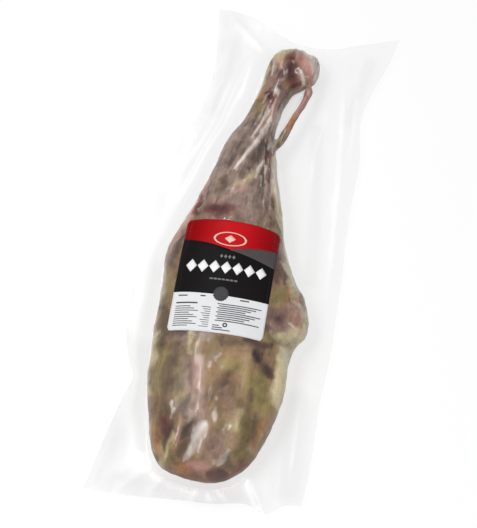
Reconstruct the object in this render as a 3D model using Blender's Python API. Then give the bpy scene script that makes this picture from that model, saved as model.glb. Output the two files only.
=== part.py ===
"""A whole cured leg of lamb, vacuum packed in a clear pouch, with a paper label on the thigh.

The pouch lies flat with the shank end towards +Y. It is one closed body: the film drawn down on
the leg, with the two films pressed together all round as a thin wavy margin. The label is a thin
bent plate that follows the top of the thigh.
"""

import math

import bmesh
import bpy
from mathutils import Vector
from mathutils.bvhtree import BVHTree

MM = 0.001

# The sizes below are for a pouch 700 mm long. The real pouch is 630 mm, nine tenths of that.
REAL_SIZE = 0.9

# Outlines seen from above, in millimetres, going round from the corner beside the hock.
# Each row pairs a point on the leg's edge with the point of the pouch's edge outside it.
OUTLINES = (
    ((30, 267), (130, 343)),
    ((22, 276), (84, 326)),
    ((13, 283), (45, 310)),
    ((2, 288), (10, 307)),
    ((-12, 286), (-25, 314)),
    ((-22, 281), (-56, 330)),
    ((-28, 275), (-88, 341)),
    ((-33, 268), (-121, 342)),
    ((-37, 253), (-112, 285)),
    ((-38, 232), (-107, 247)),
    ((-42, 199), (-109, 205)),
    ((-50, 163), (-114, 165)),
    ((-65, 127), (-126, 123)),
    ((-72, 85), (-133, 80)),
    ((-80, 42), (-137, 38)),
    ((-93, -5), (-136, -10)),
    ((-103, -47), (-137, -55)),
    ((-98, -92), (-136, -98)),
    ((-95, -140), (-131, -145)),
    ((-91, -182), (-118, -187)),
    ((-88, -209), (-107, -209)),
    ((-81, -240), (-114, -243)),
    ((-70, -275), (-121, -292)),
    ((-61, -300), (-129, -357)),
    ((-50, -315), (-98, -357)),
    ((-30, -322), (-60, -354)),
    ((-6, -325), (-20, -349)),
    ((14, -324), (20, -345)),
    ((31, -318), (60, -337)),
    ((43, -309), (85, -344)),
    ((52, -299), (104, -330)),
    ((60, -286), (124, -326)),
    ((67, -265), (125, -290)),
    ((75, -234), (124, -245)),
    ((79, -197), (121, -200)),
    ((76, -159), (122, -162)),
    ((80, -137), (122, -132)),
    ((91, -115), (121, -100)),
    ((81, -80), (119, -62)),
    ((60, -49), (117, -20)),
    ((41, -10), (113, 20)),
    ((29, 33), (111, 60)),
    ((17, 70), (110, 90)),
    ((7, 106), (110, 120)),
    ((6, 137), (109, 148)),
    ((15, 167), (103, 183)),
    ((24, 204), (100, 213)),
    ((36, 239), (108, 255)),
    ((35, 255), (120, 297)),
)

# Between the shank and the hock the meat stops at the bone side of the slit; the strap of
# tendon on the other side of the slit is a piece of its own.
BONE_SIDE = {44: (-4, 141), 45: (-4, 174), 46: (0, 206), 47: (10, 230), 48: (33, 250)}
TENDON_PATH = ((24, 238), (26, 226), (24, 213), (20, 199), (15.5, 185), (11.5, 170), (7, 153),
               (2, 137), (-3, 120))
TENDON_HALF_WIDTH = 5.5
TENDON_ROOT_SPREAD = 1.8
TENDON_HALF_HEIGHT = 8.0
TENDON_Z = 30.0

# The leg's sections along its length: y, height of the top, height of the widest line.
SECTIONS = (
    (-332, 42, 21),
    (-300, 52, 24),
    (-260, 62, 27),
    (-210, 72, 30),
    (-150, 80, 33),
    (-90, 84, 35),
    (-30, 79, 35),
    (30, 71, 34),
    (80, 64, 32),
    (120, 57, 30),
    (165, 49, 29),
    (205, 46, 28),
    (240, 51, 29),
    (288, 54, 29),
)
SAG_BELOW_FLOOR = 4.0
LIFT_OF_SHANK = 7.0
TOP_ROUND = 2.1
UNDER_ROUND = 2.6

# Middle line of the meat, and the line the film is laid out from, which runs along the slit.
MEAT_LINE = ((-300, 4), (-200, -3), (-110, -5), (-40, -22), (40, -25), (95, -31), (140, -28),
             (175, -20), (205, -14), (235, -2), (290, 1))
FILM_LINE = ((-300, 4), (-200, -3), (-110, -5), (-40, -22), (40, -25), (95, -25), (122, -14),
             (145, -2), (175, 2), (205, 8), (226, 12), (250, 4), (290, 1))

# Swellings and hollows on top of the meat: path, half width, height. The first are the cleft and
# the two knobs of the hock, then the hollow and the tendons of the shank, then the thigh's muscles.
FORMS = (
    (((-3, 284), (-4, 262), (1, 244), (3, 228)), 6.5, -5.5),
    (((-14, 268), (-20, 246)), 10.0, 2.0),
    (((20, 264), (22, 240)), 10.0, 2.6),
    (((-17, 240), (-13, 226)), 6.0, -1.6),
    (((-13, 144), (-16, 119), (-20, 94), (-28, 68)), 8.5, -2.4),
    (((-12, 190), (-14, 165), (-22, 125), (-32, 98), (-41, 72)), 4.5, 2.0),
    (((-14, 72), (-24, 58), (-34, 47), (-45, 37), (-60, 23)), 6.0, 2.0),
    (((-45, -172), (-35, -208), (-26, -242)), 4.5, -1.2),
    (((-24, -196), (-15, -236), (-11, -264)), 9.0, 2.2),
    (((-11, -262), (-17, -286), (-24, -310)), 10.0, -3.2),
    (((-31, -262), (-33, -284), (-36, -306)), 5.0, 1.6),
    (((4, -262), (0, -284), (-6, -312)), 5.0, 1.4),
    (((-4, -182), (16, -200)), 18.0, 2.4),
    (((34, -168), (60, -194)), 9.0, -2.6),
    (((66, -160), (69, -205), (62, -250)), 9.0, 2.2),
    (((-64, -180), (-62, -225), (-54, -256)), 12.0, 1.3),
    (((62, -50), (70, -74), (64, -98)), 6.0, -2.2),
    (((48, -142), (66, -148), (82, -142)), 6.0, -2.8),
)

# The pressed margin of the pouch.
MARGIN_THICK = 1.3
EDGE_HEIGHT = 11.0
END_HEIGHT = 15.0
WAVE = 1.2
MARGIN_FALL = 4.5
FILM_GAP = 0.4

# The label.
LABEL_CENTRE = (-20.1, -83.7)
LABEL_SIZE = (116.0, 151.5)
LABEL_TURN = math.radians(3.0)
LABEL_CORNER = 4.5
LABEL_THICK = 0.6
LABEL_GAP = 1.05

STEPS_PER_ROW = 3
MEAT_RINGS = (0.0, 0.25, 0.5, 0.7, 0.84, 0.93, 0.98, 1.0)
LEG_RINGS = (0.1, 0.24, 0.39, 0.53, 0.66, 0.77, 0.87, 0.95)
MARGIN_RINGS = (0.02, 0.12, 0.28, 0.5, 0.76, 1.0)
SMOOTH_PASSES = 5
SETTLE_PASSES = 3


def clear_scene():
    for old in list(bpy.data.objects):
        bpy.data.objects.remove(old, do_unlink=True)


def spline(p0, p1, p2, p3, t):
    """One span of a smooth curve through its points."""
    a = 2 * p1
    b = p2 - p0
    c = 2 * p0 - 5 * p1 + 4 * p2 - p3
    d = 3 * p1 - p0 - 3 * p2 + p3
    return 0.5 * (a + b * t + c * t * t + d * t * t * t)


def closed_curve(points, steps):
    """A smooth closed curve with the same number of steps between each pair of points."""
    count = len(points)
    curve = []
    for i in range(count):
        near = [Vector(points[(i + k) % count]) for k in (-1, 0, 1, 2)]
        for s in range(steps):
            curve.append(spline(*near, s / steps))
    return curve


def along(table, y, column=1):
    """A smooth value out of a table whose rows start with y."""
    if y <= table[0][0]:
        return table[0][column]
    if y >= table[-1][0]:
        return table[-1][column]
    i = max(k for k in range(len(table) - 1) if table[k][0] <= y)
    t = (y - table[i][0]) / (table[i + 1][0] - table[i][0])
    values = [table[min(max(i + k, 0), len(table) - 1)][column] for k in (-1, 0, 1, 2)]
    return spline(*values, t)


def middle_point(line, edge):
    """The point on a middle line that an edge point is measured from."""
    y = edge.y
    if y > 215:
        y = 215 + (y - 215) * 0.52
    if y < -190:
        y = -190 + (y + 190) * 0.5
    return Vector((along(line, y), y))


def leg_height(y, ring, upper):
    """Height of the meat at a share of the way from its middle line to its edge."""
    top = along(SECTIONS, y, 1)
    wide = along(SECTIONS, y, 2)
    if upper:
        return wide + (top - wide) * (1 - ring**TOP_ROUND) ** (1 / TOP_ROUND)
    lift = LIFT_OF_SHANK * smooth_step(60, 190, y)
    depth = wide + SAG_BELOW_FLOOR - lift
    return max(0.0, wide - depth * (1 - ring**UNDER_ROUND) ** (1 / UNDER_ROUND))


def smooth_step(low, high, value):
    t = min(max((value - low) / (high - low), 0.0), 1.0)
    return t * t * (3 - 2 * t)


def meat_shell():
    """The meat without the tendon strap, as vertices and faces for measuring heights."""
    points = [BONE_SIDE.get(i, row[0]) for i, row in enumerate(OUTLINES)]
    edge = closed_curve(points, STEPS_PER_ROW)
    count = len(edge)
    verts = []
    faces = []
    for upper in (True, False):
        first = len(verts)
        for ring in MEAT_RINGS:
            for point in edge:
                middle = middle_point(MEAT_LINE, point)
                at = middle.lerp(point, ring)
                verts.append((at.x, at.y, leg_height(middle.y, ring, upper)))
        for k in range(len(MEAT_RINGS) - 1):
            for i in range(count):
                j = (i + 1) % count
                a = first + k * count
                faces.append((a + i, a + j, a + count + j, a + count + i))
    return verts, faces


def tendon_shell(verts, faces):
    """The strap of tendon between the heel and the shank muscle, added to the meat."""
    around = 12
    path = [Vector(p) for p in TENDON_PATH]
    first = len(verts)
    for i, point in enumerate(path):
        ahead = path[min(i + 1, len(path) - 1)] - path[max(i - 1, 0)]
        side = Vector((-ahead.y, ahead.x)).normalized()
        half = TENDON_HALF_WIDTH + TENDON_ROOT_SPREAD * max(0.0, 1 - i / 2)
        for k in range(around):
            angle = 2 * math.pi * k / around
            out = side * half * math.cos(angle)
            z = TENDON_Z + TENDON_HALF_HEIGHT * math.sin(angle)
            verts.append((point.x + out.x, point.y + out.y, z))
    for i in range(len(path) - 1):
        for k in range(around):
            a = first + i * around
            b = (k + 1) % around
            faces.append((a + k, a + b, a + around + b, a + around + k))


def margin_height(share, at, edge, wide):
    """Height of the pressed margin, from the leg's widest line down to the pouch's edge."""
    end = smooth_step(-250, -345, edge.y) + smooth_step(290, 335, edge.y)
    rim = EDGE_HEIGHT + (END_HEIGHT - EDGE_HEIGHT) * min(end, 1.0)
    long_wave = math.sin(at.y / 23.0 + at.x / 31.0) + 0.6 * math.sin(at.y / 11.0 - at.x / 17.0 + 1.3)
    wave = WAVE * long_wave * smooth_step(0.0, 0.6, share)
    fold = 3.5 * math.exp(-(((edge.x - 87) / 9) ** 2 + ((edge.y + 342) / 14) ** 2))
    return rim + (wide - rim) * (1 - share) ** MARGIN_FALL + wave + fold * share


def form_height(at):
    """How far the swellings and hollows raise the top of the meat at a point."""
    rise = 0.0
    for path, width, height in FORMS:
        near = 1e9
        for a, b in zip(path, path[1:]):
            a, b = Vector(a), Vector(b)
            share = min(max((at - a).dot(b - a) / (b - a).length_squared, 0.0), 1.0)
            near = min(near, (at - a.lerp(b, share)).length)
        rise += height * math.exp(-((near / width) ** 2))
    return rise


def film_lattice(tree):
    """Plan positions and the heights of both films, ring by ring from the middle line out."""
    count = len(OUTLINES) * STEPS_PER_ROW
    leg_edge = closed_curve([row[0] for row in OUTLINES], STEPS_PER_ROW)
    rim_edge = closed_curve([row[1] for row in OUTLINES], STEPS_PER_ROW)
    plan = []
    floor_of_film = []
    for ring in LEG_RINGS:
        plan.append([middle_point(FILM_LINE, p).lerp(p, ring) for p in leg_edge])
        floor_of_film.append([along(SECTIONS, p.y, 2) - 4.0 for p in plan[-1]])
    for share in MARGIN_RINGS:
        row = []
        heights = []
        for p, q in zip(leg_edge, rim_edge):
            at = p.lerp(q, share)
            row.append(at)
            heights.append(margin_height(share, at, q, along(SECTIONS, p.y, 2) - 4.0))
        plan.append(row)
        floor_of_film.append(heights)
    top_stop = []
    under_stop = []
    for row, mids in zip(plan, floor_of_film):
        tops = []
        unders = []
        for at, mid in zip(row, mids):
            hit = tree.ray_cast(Vector((at.x, at.y, 200.0)), Vector((0, 0, -1)))[0]
            low = tree.ray_cast(Vector((at.x, at.y, -50.0)), Vector((0, 0, 1)))[0]
            over = hit.z + form_height(at) + FILM_GAP if hit else -1.0
            below = max(low.z - FILM_GAP, 0.0) if low else 200.0
            tops.append(max(over, mid + MARGIN_THICK / 2))
            unders.append(min(below, mid - MARGIN_THICK / 2))
        top_stop.append(tops)
        under_stop.append(unders)
    tops = drawn_tight(top_stop, count, 1)
    unders = drawn_tight(under_stop, count, -1)
    return plan, tops, unders


def drawn_tight(stops, count, side):
    """A film pulled taut over its stops, which bridges hollows and rounds the inside corners."""
    film = [list(row) for row in stops]
    for _ in range(SMOOTH_PASSES):
        before = [list(row) for row in film]
        for k in range(1, len(film) - 1):
            for i in range(count):
                mean = (before[k - 1][i] + before[k + 1][i]) / 2
                mean = 0.6 * mean + 0.2 * (before[k][i - 1] + before[k][(i + 1) % count])
                level = max(stops[k][i] * side, mean * side) * side
                film[k][i] = max(level, 0.0)
    for _ in range(SETTLE_PASSES):
        before = [list(row) for row in film]
        for k in range(1, len(film) - 1):
            for i in range(count):
                beside = before[k - 1][i] + before[k + 1][i]
                beside += before[k][i - 1] + before[k][(i + 1) % count]
                film[k][i] = 0.5 * before[k][i] + 0.125 * beside
    return film


def pouch_mesh(plan, tops, unders):
    """The closed body of the pouch: upper film, lower film and the cut edge between them."""
    mesh = bmesh.new()
    count = len(plan[0])
    sides = []
    for heights in (tops, unders):
        rings = []
        for row, zs in zip(plan, heights):
            rings.append([mesh.verts.new((at.x, at.y, z)) for at, z in zip(row, zs)])
        sides.append(rings)
        for inner, outer in zip(rings, rings[1:]):
            for i in range(count):
                j = (i + 1) % count
                mesh.faces.new((inner[i], inner[j], outer[j], outer[i]))
        core = [mesh.edges.get((rings[0][i], rings[0][(i + 1) % count])) for i in range(count)]
        bmesh.ops.triangle_fill(mesh, use_beauty=True, edges=core)
    for i in range(count):
        j = (i + 1) % count
        upper, lower = sides[0][-1], sides[1][-1]
        mesh.faces.new((upper[i], upper[j], lower[j], lower[i]))
    bmesh.ops.triangulate(mesh, faces=mesh.faces)
    bmesh.ops.recalc_face_normals(mesh, faces=mesh.faces)
    return mesh


def label_mesh(tree):
    """A sheet with rounded corners laid on the pouch, made as a bent plate."""
    across = 13
    mesh = bmesh.new()
    half_w = LABEL_SIZE[0] / 2
    half_h = LABEL_SIZE[1] / 2
    straight = half_h - LABEL_CORNER
    levels = [straight * (-1 + 2 * j / 14) for j in range(15)]
    bends = [straight + LABEL_CORNER * share for share in (0.5, 0.87, 1.0)]
    levels = [-y for y in reversed(bends)] + levels + bends
    down = len(levels)
    turn = (math.cos(LABEL_TURN), math.sin(LABEL_TURN))
    layers = []
    for rise in (LABEL_GAP, LABEL_GAP + LABEL_THICK):
        grid = []
        for y in levels:
            past = max(0.0, abs(y) - straight)
            width = half_w - LABEL_CORNER + math.sqrt(max(LABEL_CORNER**2 - past**2, 0.0))
            row = []
            for i in range(across):
                u = -1 + 2 * i / (across - 1)
                x = u * width
                px = LABEL_CENTRE[0] + x * turn[0] - y * turn[1]
                py = LABEL_CENTRE[1] + x * turn[1] + y * turn[0]
                hit = tree.ray_cast(Vector((px, py, 200.0)), Vector((0, 0, -1)))[0]
                row.append(mesh.verts.new((px, py, hit.z + rise)))
            grid.append(row)
        layers.append(grid)
    under, over = layers
    for j in range(down - 1):
        for i in range(across - 1):
            for grid in layers:
                mesh.faces.new((grid[j][i], grid[j][i + 1], grid[j + 1][i + 1], grid[j + 1][i]))
    rim = [(0, i) for i in range(across - 1)]
    rim += [(j, across - 1) for j in range(down - 1)]
    rim += [(down - 1, i) for i in range(across - 1, 0, -1)]
    rim += [(j, 0) for j in range(down - 1, 0, -1)]
    for a, b in zip(rim, rim[1:] + rim[:1]):
        mesh.faces.new((under[a[0]][a[1]], under[b[0]][b[1]], over[b[0]][b[1]], over[a[0]][a[1]]))
    bmesh.ops.triangulate(mesh, faces=mesh.faces)
    bmesh.ops.recalc_face_normals(mesh, faces=mesh.faces)
    return mesh


def finish(name, mesh, offset, colour, roughness):
    """Bring a mesh to its real size, centre it with the rest and make its object and material."""
    for vert in mesh.verts:
        vert.co = (vert.co + offset) * REAL_SIZE * MM
    data = bpy.data.meshes.new(name)
    mesh.to_mesh(data)
    mesh.free()
    material = bpy.data.materials.new(name)
    material.use_nodes = True
    surface = material.node_tree.nodes["Principled BSDF"]
    surface.inputs["Base Color"].default_value = colour
    surface.inputs["Roughness"].default_value = roughness
    surface.inputs["Metallic"].default_value = 0.0
    data.materials.append(material)
    data.shade_smooth()
    thing = bpy.data.objects.new(name, data)
    bpy.context.scene.collection.objects.link(thing)


def main():
    clear_scene()
    verts, faces = meat_shell()
    tendon_shell(verts, faces)
    leg_tree = BVHTree.FromPolygons([Vector(v) for v in verts], faces)
    plan, tops, unders = film_lattice(leg_tree)
    pouch = pouch_mesh(plan, tops, unders)
    label = label_mesh(BVHTree.FromBMesh(pouch))
    xs = [v.co.x for v in pouch.verts]
    ys = [v.co.y for v in pouch.verts]
    offset = Vector((-(min(xs) + max(xs)) / 2, -(min(ys) + max(ys)) / 2, 0.0))
    finish("pouch", pouch, offset, (0.33, 0.20, 0.15, 1.0), 0.3)
    finish("label", label, offset, (0.75, 0.74, 0.72, 1.0), 0.5)


main()
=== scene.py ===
"""A whole cured leg of lamb, vacuum packed in a clear pouch, with a paper label on the thigh."""

import math

import bmesh
import bpy
import numpy as np
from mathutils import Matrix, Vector, noise
from mathutils.bvhtree import BVHTree
from mathutils.kdtree import KDTree


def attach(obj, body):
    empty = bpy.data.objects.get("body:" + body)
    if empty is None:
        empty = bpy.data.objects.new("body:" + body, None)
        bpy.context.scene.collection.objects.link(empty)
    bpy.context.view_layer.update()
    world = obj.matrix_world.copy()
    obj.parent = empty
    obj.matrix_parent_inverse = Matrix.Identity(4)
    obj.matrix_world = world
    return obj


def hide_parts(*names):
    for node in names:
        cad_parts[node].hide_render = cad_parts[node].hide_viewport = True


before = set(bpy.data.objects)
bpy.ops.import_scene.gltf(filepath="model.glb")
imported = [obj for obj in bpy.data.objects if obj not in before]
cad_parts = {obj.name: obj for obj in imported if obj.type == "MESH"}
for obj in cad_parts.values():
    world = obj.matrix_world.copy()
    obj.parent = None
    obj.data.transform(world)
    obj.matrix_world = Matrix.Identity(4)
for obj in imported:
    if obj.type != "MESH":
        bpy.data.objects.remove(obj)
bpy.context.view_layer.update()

# The leg. A whole cured leg of lamb with the bone in, from the rump to the hock. Salt and months
# of air shrank the brown muscle on to the bones and dried its fat to cream, olive and amber; the
# strap of tendon beside the shank bone stands free of it, with a slit between.
# Outlines are in millimetres on a pouch 700 mm long; the real one is nine tenths of that.
REAL_SIZE = 0.9
CENTRE = np.array((3.056, 7.796, 0.0))
LEG_EDGE = (
    (30, 267), (22, 276), (13, 283), (2, 288), (-12, 286), (-22, 281), (-28, 275), (-33, 268),
    (-37, 253), (-38, 232), (-42, 199), (-50, 163), (-65, 127), (-72, 85), (-80, 42), (-93, -5),
    (-103, -47), (-98, -92), (-95, -140), (-91, -182), (-88, -209), (-81, -240), (-70, -275),
    (-61, -300), (-50, -315), (-30, -322), (-6, -325), (14, -324), (31, -318), (43, -309),
    (52, -299), (60, -286), (67, -265), (75, -234), (79, -197), (76, -159), (80, -137),
    (91, -115), (81, -80), (60, -49), (41, -10), (29, 33), (17, 70), (7, 106), (6, 137),
    (15, 167), (24, 204), (36, 239), (35, 255),
)
# The outline's points that lie on the shank bone instead of the strap, where the slit is
BONE_SIDE = {44: (-4, 141), 45: (-4, 174), 46: (0, 206), 47: (10, 230), 48: (33, 250)}
# The strap of tendon, from the hock down to where it joins the muscle
TENDON_PATH = (
    (24, 241), (26, 227), (24, 213), (20, 199), (15.5, 185), (11.5, 170), (7, 153), (2, 137), (-3, 120),
)
# y, height of the top, height of the widest line
SECTIONS = (
    (-332, 42, 21), (-300, 52, 24), (-260, 62, 27), (-210, 72, 30), (-150, 80, 33), (-90, 84, 35),
    (-30, 79, 35), (30, 71, 34), (80, 64, 32), (120, 57, 30), (165, 49, 29), (205, 46, 28),
    (240, 51, 29), (288, 54, 29),
)
MEAT_LINE = (
    (-300, 4), (-200, -3), (-110, -5), (-40, -22), (40, -25), (95, -31), (140, -28), (175, -20),
    (205, -14), (235, -2), (290, 1),
)
# Knobs of the hock: centre, half sizes
HOCK_KNOBS = (
    ((-14, 256, 30), (18, 28, 21)), ((19, 257, 29), (16, 24, 21)), ((-24, 214, 28), (13, 30, 17)),
)
# Raised and sunk lines over the meat: path, half width, height
RIDGES = (
    (((-12, 190), (-14, 165), (-22, 125), (-32, 98), (-41, 72)), 2.6, 2.0),
    (((-20, 178), (-24, 150), (-31, 126), (-40, 98)), 2.2, 1.2),
    (((-9, 98), (-14, 76)), 2.4, 1.2),
    (((-14, 72), (-24, 58), (-34, 47), (-45, 37), (-60, 23)), 5.5, 2.0),
    (((-46, -8), (-26, -10)), 9.0, 1.5),
    (((0, 142), (3, 112), (9, 80), (14, 55), (24, 34)), 2.4, 1.7),
    (((-5, 122), (-3, 95), (2, 62), (6, 36)), 2.0, 1.2),
    (((8, 247), (14, 238), (20, 227)), 2.8, 1.6),
    (((-31, -262), (-33, -284), (-36, -306)), 5.0, 1.6),
    (((4, -262), (0, -284), (-6, -312)), 5.0, 1.4),
    (((-24, -196), (-15, -236), (-11, -264)), 9.0, 2.0),
    (((-4, -182), (16, -200)), 20.0, 2.4),
    (((28, -170), (33, -200), (35, -216), (26, -232)), 5.5, 1.8),
    (((66, -160), (69, -205), (62, -250)), 8.0, 2.2),
    (((-64, -180), (-62, -225), (-54, -256)), 12.0, 1.3),
    (((33, -238), (33, -268), (24, -296)), 8.0, 1.6),
    (((-78, 50), (-78, 20), (-84, -14)), 4.0, 1.6),
)
GROOVES = (
    (((-13, 144), (-16, 119), (-20, 94), (-28, 68)), 7.5, 2.4),
    (((-1, 284), (-5, 270), (-5, 258)), 2.6, 2.0),
    (((-3, 254), (-1, 242), (2, 229)), 6.5, 4.4),
    (((-17, 242), (-13, 226)), 5.5, 1.6),
    (((-24, 208), (-21, 196)), 4.0, 2.0),
    (((-27, 178), (-33, 150), (-44, 112), (-54, 66)), 3.6, 1.4),
    (((-5, 150), (-8, 122), (-8, 98)), 1.8, 1.3),
    (((2, 108), (6, 74), (12, 44)), 1.8, 1.3),
    (((-70, 60), (-70, 26), (-74, -8)), 3.6, 1.8),
    (((-45, -172), (-35, -208), (-26, -242)), 3.0, 1.2),
    (((-11, -262), (-17, -286), (-24, -310)), 10.0, 3.2),
    (((-42, -276), (-44, -293), (-47, -308)), 5.0, 2.4),
    (((34, -166), (46, -180), (60, -194)), 6.5, 2.4),
    (((42, -228), (46, -262), (50, -296)), 6.0, 1.4),
    (((14, -198), (12, -216)), 7.0, 1.6),
    (((62, -50), (70, -74), (64, -98)), 4.0, 2.2),
    (((48, -142), (66, -148), (82, -142)), 4.0, 2.8),
    (((54, -118), (64, -132)), 6.0, 1.8),
)
VOXEL = 0.0017
# The strap: half width, how much wider its upper end is, half thickness, height of its middle
STRAP_HALF_WIDTH = 5.4
STRAP_ROOT_SPREAD = 1.8
STRAP_HALF_DEPTH = 7.5
STRAP_HEIGHT = 30
STRAP_BLUNTNESS = 2.2
# Past these two places the leg closes to its ends: y, share of the length that is kept
HOCK_CLOSES = (215, 0.52)
RUMP_CLOSES = (-190, 0.5)
# How full the section is: 2 is an ellipse, and more is squarer
TOP_FULLNESS = 2.1
UNDER_FULLNESS = 2.6
# The thigh is pressed flat where it lies, and the shank is raised a little off the floor
PRESSED_FLAT = 4.0
SHANK_RAISED = 7.0


def spline(p0, p1, p2, p3, t):
    """A smooth curve from p1 to p2 that heads in from p0 and out to p3."""
    return 0.5 * (2 * p1 + (p2 - p0) * t + (2 * p0 - 5 * p1 + 4 * p2 - p3) * t * t
                  + (3 * p1 - p0 - 3 * p2 + p3) * t * t * t)


def around(points, share):
    """Points at shares 0 to 1 of the way round a smooth closed curve."""
    p = np.array(points, float)
    at = (share % 1.0) * len(p)
    i = np.floor(at).astype(int) % len(p)
    near = [p[(i + k) % len(p)] for k in (-1, 0, 1, 2)]
    return spline(*near, (at - np.floor(at))[:, None])


def along(table, y, column=1):
    """Smooth values out of a table whose rows start with y."""
    rows = np.array(table, float)
    i = np.clip(np.searchsorted(rows[:, 0], y, side="right") - 1, 0, len(rows) - 2)
    t = np.clip((y - rows[i, 0]) / (rows[i + 1, 0] - rows[i, 0]), 0, 1)
    near = [rows[np.clip(i + k, 0, len(rows) - 1), column] for k in (-1, 0, 1, 2)]
    return spline(*near, t)


def step(low, high, value):
    """0 at low, 1 at high, and a soft change between."""
    t = np.clip((value - low) / (high - low), 0, 1)
    return t * t * (3 - 2 * t)


def distance(p, path):
    """Distance of each point from a path, and how far along the path its nearest point is."""
    path = np.array(path, float)
    best = np.full(len(p), 1e9)
    where = np.zeros(len(p))
    for k in range(len(path) - 1):
        run = path[k + 1] - path[k]
        t = np.clip((p - path[k]) @ run / (run @ run), 0, 1)
        far = np.linalg.norm(p - path[k] - t[:, None] * run, axis=1)
        nearer = far < best
        best[nearer] = far[nearer]
        where[nearer] = ((k + t) / (len(path) - 1))[nearer]
    return best, where


def painted(points, strokes, outer, inner, tapered=False):
    """How far strokes cover each point: wholly within inner half widths, and not past outer ones."""
    amount = np.zeros(len(points))
    for path, width, *strength in strokes:
        far, where = distance(points, path)
        if tapered:
            width = width * (0.35 + 0.65 * np.sin(math.pi * np.clip(where, 0.06, 0.94)))
        cover = step(outer * width, inner * width, far)
        amount = np.maximum(amount, strength[0] * cover if strength else cover)
    return amount


def lumps(p, size, seed):
    """Smooth noise, about -1 to 1, with lumps of the given size in millimetres."""
    return np.array([noise.noise(Vector(q) / size + Vector((seed, 0, 0))) for q in p])


def points_of(mesh):
    """Every vertex of a bmesh as a row of three numbers."""
    return np.array([v.co[:] for v in mesh.verts])


def put_points(mesh, points):
    """Moves every vertex of a bmesh to its row of points."""
    for vert, co in zip(mesh.verts, points):
        vert.co = co


def real(p):
    """Drawn millimetres to real metres in the pack's frame."""
    return (np.asarray(p) + CENTRE) * REAL_SIZE * 0.001


def drawn(p):
    """Real metres back to drawn millimetres."""
    return np.asarray(p) / (REAL_SIZE * 0.001) - CENTRE


def new_piece(name, mesh):
    """An object of this mesh, in the scene."""
    piece = bpy.data.objects.new(name, mesh)
    bpy.context.scene.collection.objects.link(piece)
    return piece


def mark_points(mesh, name, values):
    """One number for each point of a mesh, under a name that its material reads."""
    mesh.attributes.new(name, "FLOAT", "POINT").data.foreach_set("value", values.astype(np.float32))


def leg_skin(uv):
    """The meat's surface: once round the outline, and from the top down to the underside."""
    points = [BONE_SIDE.get(i, p) for i, p in enumerate(LEG_EDGE)]
    edge = around(points, uv[:, 0])
    y = edge[:, 1].copy()
    for (start, kept), beyond in ((HOCK_CLOSES, y > HOCK_CLOSES[0]), (RUMP_CLOSES, y < RUMP_CLOSES[0])):
        y = np.where(beyond, start + (y - start) * kept, y)
    middle = np.stack((along(MEAT_LINE, y), y), 1)
    turn = uv[:, 1] * math.pi
    ring = np.sin(turn)
    wide = along(SECTIONS, y, 2)
    over = wide + (along(SECTIONS, y, 1) - wide) * (1 - ring**TOP_FULLNESS) ** (1 / TOP_FULLNESS)
    depth = wide + PRESSED_FLAT - SHANK_RAISED * step(60, 190, y)
    under = np.maximum(0.0, wide - depth * (1 - ring**UNDER_FULLNESS) ** (1 / UNDER_FULLNESS))
    height = np.where(turn < math.pi / 2, over, under)
    return np.column_stack((middle + (edge - middle) * ring[:, None], height))


leg = bmesh.new()
bmesh.ops.create_grid(leg, x_segments=320, y_segments=56, size=0.5)
put_points(leg, leg_skin(points_of(leg)[:, :2] + 0.5))
bmesh.ops.remove_doubles(leg, verts=leg.verts, dist=0.01)
for centre, half in HOCK_KNOBS:
    knob = bmesh.ops.create_uvsphere(leg, u_segments=32, v_segments=20, radius=1.0)["verts"]
    for vert in knob:
        vert.co = Vector([c + h * x for c, h, x in zip(centre, half, vert.co)])
strap = bmesh.ops.create_uvsphere(leg, u_segments=20, v_segments=48, radius=1.0)["verts"]
path = np.array(TENDON_PATH, float)
for vert in strap:
    share = (1 - math.acos(max(-1.0, min(1.0, vert.co.z))) / math.pi) * (len(path) - 1)
    k = min(int(share), len(path) - 2)
    run = path[k + 1] - path[k]
    run /= np.linalg.norm(run)
    middle = path[k] + (path[k + 1] - path[k]) * (share - k)
    girth = min(1.0, math.sqrt(max(0.0, 1 - vert.co.z**2)) * STRAP_BLUNTNESS)
    angle = math.atan2(vert.co.y, vert.co.x)
    half_width = STRAP_HALF_WIDTH + STRAP_ROOT_SPREAD * max(0.0, 1 - share / 2)
    out = girth * half_width * math.cos(angle)
    rise = STRAP_HEIGHT + girth * STRAP_HALF_DEPTH * math.sin(angle)
    vert.co = (middle[0] - run[1] * out, middle[1] + run[0] * out, rise)
put_points(leg, real(points_of(leg)))
bmesh.ops.recalc_face_normals(leg, faces=leg.faces)
form_mesh = bpy.data.meshes.new("leg_form")
leg.to_mesh(form_mesh)
leg.free()
form = new_piece("leg_form", form_mesh)
remesh = form.modifiers.new("one_skin", "REMESH")
remesh.mode = "VOXEL"
remesh.voxel_size = VOXEL
soften = form.modifiers.new("soften", "SMOOTH")
soften.factor = 0.5
soften.iterations = 8
ready = form.evaluated_get(bpy.context.evaluated_depsgraph_get())
leg_mesh = bpy.data.meshes.new_from_object(ready)
bpy.data.objects.remove(form)
leg_mesh.name = "leg_of_lamb"

# The relief of the skin, in millimetres: strands along the muscles, lumps, ridges and grooves. The
# side bulge is the most crumpled, and the label presses the meat smooth.
BULGE_MIDDLE = np.array((82, -104))
BULGE_HALF_SIZE = np.array((14, 38))
LABEL_MIDDLE = np.array((-20, -85))
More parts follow.
